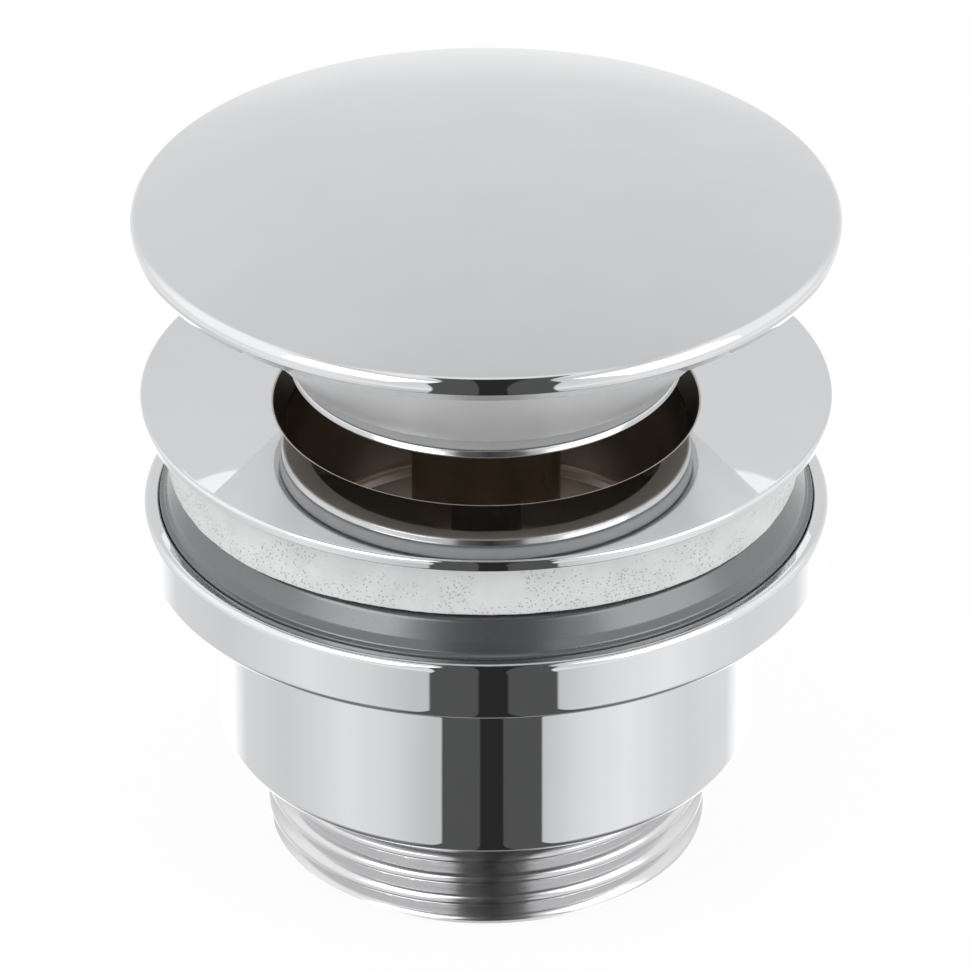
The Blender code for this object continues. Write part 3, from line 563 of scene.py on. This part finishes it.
def make_plug():
    """Flared plug with its web, and the lip below the groove of the seal."""
    slope = (CONE_TOP - FOOT) / (CONE_HIGH - FOOT_Z)
    wall = CONE_WALL * math.sqrt(1.0 + slope**2)

    def cone(z):
        return FOOT + (z - FOOT_Z) * slope

    corners = [
        (CONE_TOP, CONE_HIGH, CRISP),
        (FOOT, FOOT_Z, 0.18),
        (GROOVE, FOOT_Z, CRISP),
        (GROOVE, LIP_HIGH, CRISP),
        (LIP, LIP_HIGH, 0.22),
        (LIP, LIP_LOW, SOFT),
        (PLUG_BORE, LIP_LOW, EDGE),
        (PLUG_BORE, FOOT_Z, EDGE),
        (cone(WEB_LOW) - wall, WEB_LOW, WIDE),
        (STEM_HOLE, WEB_LOW, CRISP),
        (STEM_HOLE, WEB_HIGH, CRISP),
        (cone(WEB_HIGH) - wall, WEB_HIGH, EASED),
        (CONE_TOP - wall, CONE_HIGH, CRISP),
    ]

    def choose(r, z):
        if z < LIP_LOW + 0.1 or r < cone(z) - wall + 0.1:
            return 2
        return 1 if z < FOOT_Z else 0

    piece = lathe("plug", rounded(corners, True), PLUG_CHROME)
    paint(piece, (THREAD_CHROME, HOLLOW_METAL), choose)
    place(piece, "plug", "chrome", "plug_cone")


def make_seal():
    """Seal ring that fills its groove but for a hair at top and bottom."""
    low, high = LIP_HIGH + 0.02, FOOT_Z - 0.02
    corners = [(LIP, high, SOFT), (LIP, low, SOFT), (SEAL_BORE, low, CRISP), (SEAL_BORE, high, CRISP)]
    piece = lathe("plug_ring", rounded(corners, True), SEAL_SKIN)
    place(piece, "plug", "grey_rubber", "plug_seal")


def make_stem():
    """Stem with the clip's groove and the pilot below."""
    corners = [
        (0.0, STEM_HIGH, 0.0),
        (STEM, STEM_HIGH, EASED),
        (STEM, CLIP_HIGH, CRISP),
        (CLIP_GROOVE, CLIP_HIGH, CRISP),
        (CLIP_GROOVE, CLIP_LOW, CRISP),
        (STEM, CLIP_LOW, CRISP),
        (STEM, PILOT_HIGH, EDGE),
        (PILOT, PILOT_HIGH, CRISP),
        (PILOT, PILOT_LOW, EASED),
        (0.0, PILOT_LOW, 0.0),
    ]
    piece = lathe("stem", rounded(corners, False), STEEL, closed=False, segments=ROUND_STEM)
    place(piece, "plug", "spring_steel", "plunger_stem")


# Flange, spider and cartridge


def flange_under(r):
    """Underside of the flange, which slopes down from its land to the tube."""
    return UNDER_Z - FLANGE_ROOT_DROP / (LAND - TUBE) * max(0.0, LAND - r)


def make_flange():
    """Dished flange and tube, threaded outside, its bore darker below the seat, with painted shade on the
    seat and a pale band on the hole's edge as a painted highlight.
    """
    corners = [
        (TUBE_BORE, TUBE_BOTTOM, EDGE),
        (TUBE_BORE, LEDGE_Z - 0.5, CRISP),
        (TUBE_BORE + 0.5, LEDGE_Z, FINE),
        (BORE, LEDGE_Z, CRISP),
        (BORE, RIM_Z - SEAT_DEPTH, EASED),
        (HOLE, RIM_Z, 0.22),
        (FLANGE, FLANGE_Z, WIDE),
        (FLANGE, UNDER_Z, FINE),
        (LAND, UNDER_Z, CRISP),
        (TUBE_ROOT, flange_under(TUBE_ROOT), EDGE),
        (TUBE_ROOT, TUBE_THREAD_TOP, 0.0),
    ]
    thread = [(TUBE_ROOT, z) for z in spaced(TUBE_THREAD_TOP, TUBE_BOTTOM + 0.05, 260)]

    def radius_at(angle, r, z):
        if r != TUBE_ROOT or z > TUBE_THREAD_TOP:
            return r
        crest = threaded(angle, z, TUBE_ROOT, TUBE, TUBE_PITCH, TUBE_THREAD_TOP, fade=1.2)
        return min(crest, TUBE - 0.6 + (z - TUBE_BOTTOM))

    def choose(r, z):
        if r < HOLE - 0.03 and z < RIM_Z - 0.1:
            return 1
        # Faces on the hole's edge get the pale rim band, a painted highlight.
        return 2 if r < HOLE + 0.2 else 0

    piece = lathe("flange", rounded(corners, True) + thread[1:], CHROME, radius_at=radius_at)
    paint(piece, (BORE_METAL, RIM_HIGHLIGHT_PLATE), choose)
    place(piece, "upper_body", "chrome", "flange_body")


def make_spider():
    """Boss on four rounded arms that carries the cartridge in the tube."""
    arm_size = (9.5, 3.0, 4.5)
    arm_middle = (13.6, 0.0, 22.5)
    corners = [
        (BOSS, BOSS_HIGH, WIDE),
        (BOSS, BOSS_LOW, WIDE),
        (BOSS_BORE, BOSS_LOW, EDGE),
        (BOSS_BORE, BOSS_HIGH, EDGE),
    ]
    piece = lathe("spider", rounded(corners, True), BORE_METAL, segments=ROUND_SMALL)
    bm = bmesh.new()
    bm.from_mesh(piece.data)
    for index in range(4):
        arm = bmesh.new()
        bmesh.ops.create_cube(arm, size=1.0)
        bmesh.ops.scale(arm, vec=scaled(arm_size, MM), verts=arm.verts)
        bmesh.ops.bevel(arm, geom=arm.edges[:], offset=0.5 * MM, segments=4, affect="EDGES")
        bmesh.ops.translate(arm, vec=scaled(arm_middle, MM), verts=arm.verts)
        mesh = bpy.data.meshes.new("arm")
        arm.to_mesh(mesh)
        arm.free()
        turn = math.radians(45.0 + 90.0 * index)
        c, s = math.cos(turn), math.sin(turn)
        for vert in mesh.vertices:
            x, y, z = vert.co
            vert.co = (x * c - y * s, x * s + y * c, z)
        bm.from_mesh(mesh)
        bpy.data.meshes.remove(mesh)
    bm.to_mesh(piece.data)
    bm.free()
    piece.data.shade_smooth()
    piece.data.set_sharp_from_angle(angle=SMOOTH_SPIDER)
    place(piece, "upper_body", "brass")


def make_cartridge():
    """Shell of the cartridge with its shoulder, and the head that guides the stem."""
    shell = [
        (CORE, CORE_HIGH, FINE),
        (CORE, SHOULDER_HIGH, CRISP),
        (CORE_SHOULDER, SHOULDER_HIGH, SOFT),
        (CORE_SHOULDER, SHOULDER_LOW, SOFT),
        (CORE, SHOULDER_LOW, CRISP),
        (CORE, CORE_LOW, EASED),
        (CORE_BORE, CORE_LOW, EDGE),
        (CORE_BORE, CORE_HIGH, FINE),
    ]
    bush = [
        (CORE, BUSH_HIGH, 0.35),
        (CORE, BUSH_SEAT, CRISP),
        (BUSH_INSERT, BUSH_SEAT, CRISP),
        (BUSH_INSERT, BUSH_LOW, EDGE),
        (STEM_HOLE, BUSH_LOW, EDGE),
        (STEM_HOLE, COUNTERBORE_Z, CRISP),
        (COUNTERBORE, COUNTERBORE_Z, CRISP),
        (COUNTERBORE, BUSH_HIGH, FINE),
    ]
    for name, corners, node in (
        ("cartridge_shell", shell, "core_shell"),
        ("cartridge_head", bush, "core_bush"),
    ):
        piece = lathe(name, rounded(corners, True), BRASS, segments=ROUND_SMALL)
        place(piece, "upper_body", "brass", node)


# Washers


def refined(points, step):
    """The closed profile with points added along sides that are longer than the step."""
    finer = []
    for first, second in zip(points, points[1:] + points[:1]):
        finer.append(first)
        parts = int(math.dist(first, second) / step)
        for k in range(1, parts):
            share = k / parts
            finer.append(
                (first[0] + (second[0] - first[0]) * share, first[1] + (second[1] - first[1]) * share)
            )
    return finer


def make_foam():
    """Foam washer: its top follows the flange, and its outer side is cut slightly uneven."""
    corners = [
        (FOAM, flange_under(FOAM) - 0.3, EASED),
        (FOAM, FOAM_LOW, SOFT),
        (SOCKET, FOAM_LOW, EDGE),
        (SOCKET, flange_under(SOCKET) - 0.3, EDGE),
    ]

    def radius_at(angle, r, z):
        if r < FOAM - 0.7:
            return r
        spot = Vector((math.cos(angle) * 30.0, math.sin(angle) * 30.0, z))
        ragged = 0.5 + 0.5 * noise.noise(spot * 1.1)
        soft = 0.5 + 0.5 * noise.noise(spot * 0.28)
        low = max(0.0, 1.0 - (z - FOAM_LOW) / 0.9)
        slack = (0.75 - 0.25 * math.cos(angle)) * min(1.0, math.cos(angle) ** 2 * 2.0)
        return r + slack - 0.10 * soft - 0.16 * ragged * low

    points = refined(rounded(corners, True), step=0.35)
    piece = lathe("foam", points, FOAM_SKIN, radius_at=radius_at, segments=ROUND_FOAM)
    place(piece, "upper_body", "white_foam", "foam_washer")


def make_rubber():
    """Conical rubber washer with a shoulder above the collar."""
    corners = [
        (RUBBER_TOP, RUBBER_HIGH, 0.8),
        (RUBBER_STEP, SHOULDER_Z + 0.9, 0.8),
        (RUBBER_SHOULDER, SHOULDER_Z, EASED),
        (RUBBER, SHOULDER_Z - 0.15, CRISP),
        (RUBBER, RUBBER_LOW, EDGE),
        (SOCKET, RUBBER_LOW, EDGE),
        (SOCKET, RUBBER_HIGH, EASED),
    ]
    piece = lathe("rubber", rounded(corners, True), RUBBER_SKIN)
    place(piece, "clamp_washer", "grey_rubber", "rubber_washer")


# Lower body


def make_lower_body():
    """Collar with its recess, cylinder, and the tail with its rounded pipe thread."""
    corners = [
        (TAIL_BORE, 0.0, SOFT),
        (TAIL_BORE, SHELF_TOP, EDGE),
        (SOCKET, SHELF_TOP, CRISP),
        (SOCKET, RECESS_Z, WIDE),
        (RECESS, RECESS_Z, EDGE),
        (RECESS, COLLAR_HIGH, SOFT),
        (COLLAR, COLLAR_HIGH, 0.8),
        (COLLAR, COLLAR_LOW, 1.1),
        (CYLINDER, COLLAR_LOW, SOFT),
        (CYLINDER, TAIL_TOP, 1.3),
        (TAIL_ROOT, TAIL_TOP, EDGE),
        (TAIL_ROOT, TAIL_THREAD_TOP, 0.0),
    ]
    thread = [(TAIL_ROOT, z) for z in spaced(TAIL_THREAD_TOP, 0.0, 200)]

    def radius_at(angle, r, z):
        if r != TAIL_ROOT or z > TAIL_THREAD_TOP:
            return r
        crest = threaded(angle, z, TAIL_ROOT, TAIL_CREST, TAIL_PITCH, TAIL_THREAD_TOP, fade=0.9)
        return min(crest, TAIL_CREST - 0.9 + z)

    def choose(r, z):
        if r < TAIL_BORE + 0.1 or (r < SOCKET + 0.1 and SHELF_TOP - 0.2 < z < RECESS_Z):
            return 1
        return 2 if z < TAIL_TOP and r < TAIL_CREST + 0.1 else 0

    piece = lathe("lower_shell", rounded(corners, True) + thread[1:], CHROME, radius_at=radius_at)
    paint(piece, (BORE_METAL, THREAD_CHROME), choose)
    place(piece, "lower_body", "chrome", "tail_body")


make_cap()
make_plug()
make_seal()
make_stem()
make_flange()
make_spider()
make_cartridge()
make_foam()
make_rubber()
make_lower_body()

for row in frame["record"]["subparts"]:
    carried = frame["nodes"][row["node"]]
    carried.data.materials.clear()
    carried.data.materials.append(SLOT_FINISH[row["material_slot"]])
    carried.data.shade_smooth()
    carried.data.set_sharp_from_angle(angle=SMOOTH_CARRIED)


# Studio

# Brightness that gloss sees, as (degrees, level): by angle from the front for low directions,
# and by height for high ones
STUDIO_ROUND = (
    (0, 0.62), (24, 0.65), (42, 0.84), (63, 0.95), (82, 0.84), (97, 0.78), (128, 0.83), (146, 1.35)
)
STUDIO_RISE = (
    (-90, 0.9), (-12, 1.0), (0, 0.90), (6, 0.83), (15, 0.80), (38, 0.765), (58, 0.71), (67, 0.67), (76, 0.98)
)
# Where soft lamps show, as lowest angle, highest angle and blur in degrees
LAMP_ROUND = (42.0, 130.0, 14.0)
LAMP_RISE = (8.0, 60.0, 11.0)
LAMP_LEVEL = 1.07
# Angles above the horizon where the rise takes over and where dark ground ends, each with its blur
RISE_START = (-14.0, 6.0)
UNDER_END = (-54.0, 9.0)
UNDER_SHARE = 0.25
SIDE_SLOPE = 0.08
AMBIENT = 0.86

# Dark panel ahead of the object with a black slit in its middle; sizes are parts of a unit direction
PANEL_SHIFT = 0.035
PANEL_LEVEL = 0.097
PANEL_HALF = 0.310
PANEL_BLUR = 0.008
PANEL_TAPER = 0.13
PANEL_TAPER_RISE = (0.55, 1.0)
PANEL_START = (-0.14, 0.02)
SLIT_LEVEL = 0.026
SLIT_HALF = 0.073
SLIT_BLUR = 0.007

OBJECT_MIDDLE = Vector((0.0, 0.0, 0.036))
FLOOR_COLOUR = (0.93, 0.93, 0.93, 1.0)
FLOOR_GLOW = 0.94
WHITE = (1.0, 1.0, 1.0, 1.0)

CAMERA_RISE = math.radians(30.27)
CAMERA_TARGET = Vector((-0.000106, 0.0, 0.036031))
CAMERA_DISTANCE = 0.7215
CAMERA_LENS = 284.45
CAMERA_SENSOR = 36.0


def levels(tree, value, stops, shift=0.0):
    """Brightness from a share of half a turn through (degrees, level) stops."""
    made = tree.nodes.new("ShaderNodeValToRGB")
    tree.links.new(value, made.inputs["Fac"])
    elements = made.color_ramp.elements
    while len(elements) < len(stops):
        elements.new(0.5)
    for element, (angle, level) in zip(elements, stops):
        element.position = (angle + shift) / 180.0
        element.color = (level / 2.0, level / 2.0, level / 2.0, 1.0)
    return maths(tree, "MULTIPLY", made.outputs["Color"], 2.0)


def mixed(tree, share, first, second):
    """Mix two numbers or sockets by a socket."""
    made = tree.nodes.new("ShaderNodeMix")
    tree.links.new(share, made.inputs[0])
    for slot, value in ((made.inputs[2], first), (made.inputs[3], second)):
        if isinstance(value, (int, float)):
            slot.default_value = value
        else:
            tree.links.new(value, slot)
    return made.outputs[0]


def above(tree, value, angle, blur):
    """1 above an angle in degrees, blurred to both sides."""
    return step_up(tree, value, math.radians(angle - blur), math.radians(angle + blur))


def between(tree, value, low, high, blur):
    """1 between two angles in degrees."""
    return maths(tree, "SUBTRACT", above(tree, value, low, blur), above(tree, value, high, blur))


def outside(tree, value, half, blur):
    """1 beyond a half width, blurred to both sides."""
    return step_up(tree, value, half - blur, half + blur)


def studio_level(tree):
    """Brightness of the studio by direction."""
    split = tree.nodes.new("ShaderNodeSeparateXYZ")
    direction = tree.nodes.new("ShaderNodeTexCoord").outputs["Generated"]
    tree.links.new(direction, split.inputs["Vector"])
    x, y, z = split.outputs
    front = maths(tree, "MULTIPLY", y, -1.0)
    side = maths(tree, "ABSOLUTE", maths(tree, "ARCTAN2", x, front))
    rise = maths(tree, "ARCSINE", z)
    width = maths(tree, "ABSOLUTE", maths(tree, "SUBTRACT", x, PANEL_SHIFT))

    around = levels(tree, ramp(tree, side, 0.0, 1.0, 0.0, math.pi), STUDIO_ROUND)
    upward = ramp(tree, rise, 0.0, 1.0, -math.pi / 2.0, math.pi / 2.0)
    high = above(tree, rise, *RISE_START)
    level = mixed(tree, high, around, levels(tree, upward, STUDIO_RISE, 90.0))
    lamps = maths(
        tree, "MULTIPLY", between(tree, side, *LAMP_ROUND), between(tree, rise, *LAMP_RISE)
    )
    level = mixed(tree, lamps, level, LAMP_LEVEL)
    lit = mixed(tree, above(tree, rise, *UNDER_END), UNDER_SHARE, 1.0)
    level = maths(tree, "MULTIPLY", level, lit)
    slope = maths(tree, "MULTIPLY", maths(tree, "MULTIPLY", x, z), SIDE_SLOPE)
    level = maths(tree, "MULTIPLY", level, maths(tree, "SUBTRACT", 1.0, slope))

    ahead = step_up(tree, front, *PANEL_START)
    taper = maths(tree, "MULTIPLY", step_up(tree, z, *PANEL_TAPER_RISE), PANEL_TAPER)
    beside = outside(tree, maths(tree, "ADD", width, taper), PANEL_HALF, PANEL_BLUR)
    panel = maths(tree, "MULTIPLY", maths(tree, "SUBTRACT", 1.0, beside), ahead)
    slit = maths(tree, "SUBTRACT", 1.0, outside(tree, width, SLIT_HALF, SLIT_BLUR))
    return mixed(tree, panel, level, mixed(tree, slit, PANEL_LEVEL, SLIT_LEVEL))


def background(tree, strength):
    """A Background node, white unless its colour is linked."""
    made = tree.nodes.new("ShaderNodeBackground")
    made.inputs["Color"].default_value = WHITE
    made.inputs["Strength"].default_value = strength
    return made


def mix_shaders(tree, share, first, second):
    """Mix two shader outputs by a socket."""
    made = tree.nodes.new("ShaderNodeMixShader")
    tree.links.new(share, made.inputs[0])
    tree.links.new(first, made.inputs[1])
    tree.links.new(second, made.inputs[2])
    return made.outputs[0]


def make_world():
    """White for the camera, an even level for soft light, and a studio for what gloss reflects."""
    world = bpy.data.worlds.new("studio")
    bpy.context.scene.world = world
    world.use_nodes = True
    tree = world.node_tree
    tree.nodes.clear()
    studio = background(tree, 1.0)
    combine = tree.nodes.new("ShaderNodeCombineColor")
    level = studio_level(tree)
    for slot in combine.inputs[:3]:
        tree.links.new(level, slot)
    tree.links.new(combine.outputs["Color"], studio.inputs["Color"])
    path = tree.nodes.new("ShaderNodeLightPath")
    ambient = background(tree, AMBIENT).outputs[0]
    lit = mix_shaders(tree, path.outputs["Is Glossy Ray"], ambient, studio.outputs[0])
    seen = mix_shaders(tree, path.outputs["Is Camera Ray"], lit, background(tree, 1.0).outputs[0])
    out = tree.nodes.new("ShaderNodeOutputWorld")
    tree.links.new(seen, out.inputs["Surface"])


def make_floor():
    """Pale floor that keeps the object's shadow; gloss sees the studio through it."""
    bm = bmesh.new()
    bmesh.ops.create_grid(bm, x_segments=8, y_segments=8, size=3.0)
    mesh = bpy.data.meshes.new("floor")
    bm.to_mesh(mesh)
    bm.free()
    floor = bpy.data.objects.new("floor", mesh)
    floor.location = (0.0, 0.0, -0.1 * MM)
    bpy.context.scene.collection.objects.link(floor)
    material, tree, shader = new_material("floor")
    shader.inputs["Base Color"].default_value = FLOOR_COLOUR
    shader.inputs["Roughness"].default_value = 1.0
    shader.inputs["Specular IOR Level"].default_value = 0.0
    path = tree.nodes.new("ShaderNodeLightPath")
    glow = tree.nodes.new("ShaderNodeEmission")
    glow.inputs["Strength"].default_value = 1.0
    clear = tree.nodes.new("ShaderNodeBsdfTransparent")
    under = tree.nodes.new("ShaderNodeNewGeometry").outputs["Backfacing"]
    seen = maths(tree, "MULTIPLY", path.outputs["Is Camera Ray"], FLOOR_GLOW)
    through = maths(tree, "MAXIMUM", path.outputs["Is Glossy Ray"], under)
    pale = mix_shaders(tree, seen, shader.outputs[0], glow.outputs[0])
    surface = mix_shaders(tree, through, pale, clear.outputs[0])
    tree.links.new(surface, tree.nodes["Material Output"].inputs["Surface"])
    mesh.materials.append(material)


def aim(thing, spot, direction):
    """Put a lamp or camera at a spot and turn it to look along a direction."""
    thing.location = spot
    thing.rotation_mode = "QUATERNION"
    thing.rotation_quaternion = direction.to_track_quat("-Z", "Y")
    bpy.context.scene.collection.objects.link(thing)


def make_lamp(name, spot, power):
    """Soft square lamp that looks at the object's middle."""
    data = bpy.data.lights.new(name, "AREA")
    data.shape = "SQUARE"
    data.size = 0.5
    data.energy = power
    aim(bpy.data.objects.new(name, data), spot, OBJECT_MIDDLE - Vector(spot))


def make_camera():
    """Camera where the photograph was taken from."""
    back = Vector((0.0, -math.cos(CAMERA_RISE), math.sin(CAMERA_RISE)))
    data = bpy.data.cameras.new("camera")
    data.sensor_width = CAMERA_SENSOR
    data.lens = CAMERA_LENS
    data.clip_start = 0.05
    data.clip_end = 20.0
    camera = bpy.data.objects.new("camera", data)
    aim(camera, CAMERA_TARGET + back * CAMERA_DISTANCE, -back)
    bpy.context.scene.camera = camera


make_world()
make_floor()
make_lamp("key", (-0.45, -0.40, 0.60), 1.6)
make_lamp("fill", (0.50, -0.25, 0.45), 1.0)
make_camera()
bpy.context.scene.view_settings.view_transform = "Standard"
